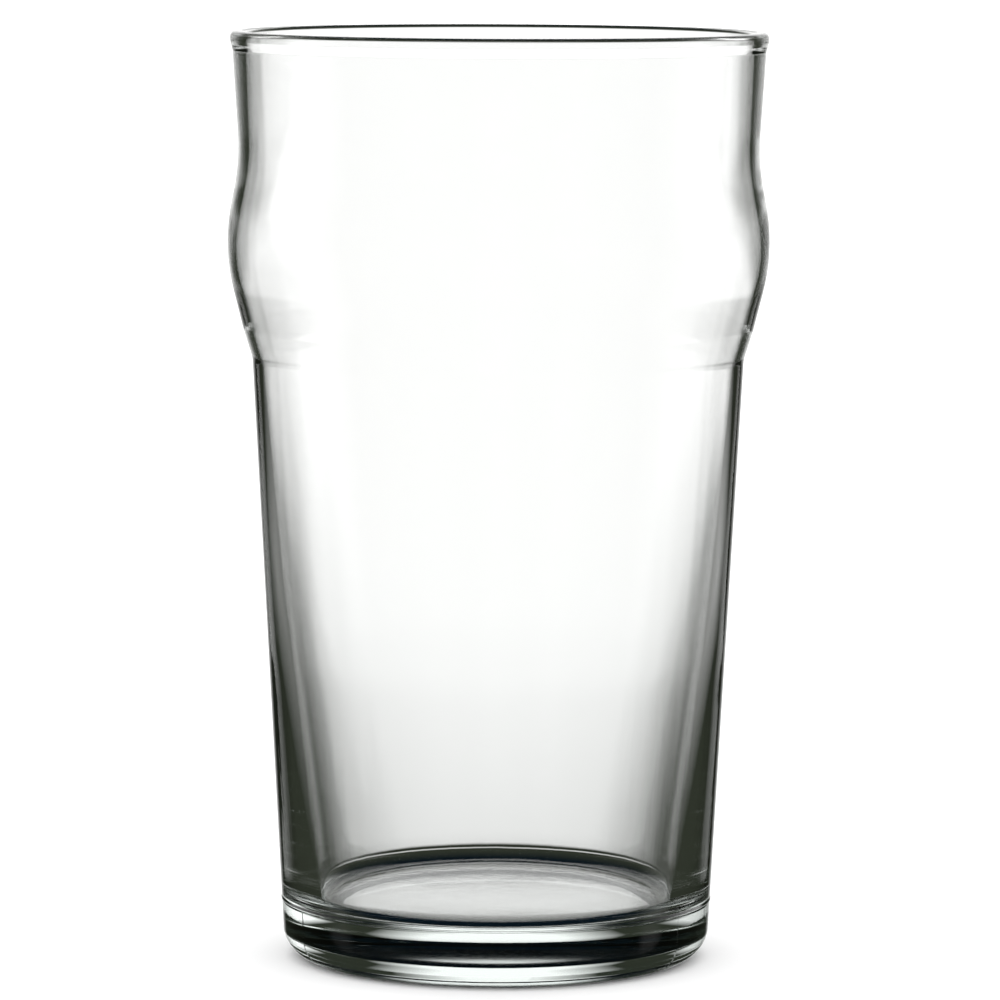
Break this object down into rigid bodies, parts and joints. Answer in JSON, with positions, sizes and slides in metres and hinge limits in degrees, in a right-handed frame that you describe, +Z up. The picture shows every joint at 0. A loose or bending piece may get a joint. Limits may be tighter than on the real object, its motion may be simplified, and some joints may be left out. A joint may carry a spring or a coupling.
{
  "type": "pint glass",
  "caption": "Tall tapered one-pint drinking glass with a rounded bulge below the lip, a shoulder ledge and a thick foot.",
  "frame": {"origin": "centre of the ring that the glass stands on", "axes": "+Z up along the glass's axis of symmetry, towards the lip; X and Y are level, and the three faint mould seams lie about 60 degrees either side of -Y and at +Y"},
  "size_m": [0.0868, 0.0868, 0.149],
  "materials": {
    "clear_glass": "polished clear soda-lime glass, faintly grey-green where it is thick"
  },
  "bodies": {
    "root": {"glass_body": "clear_glass"}
  },
  "joints": []
}
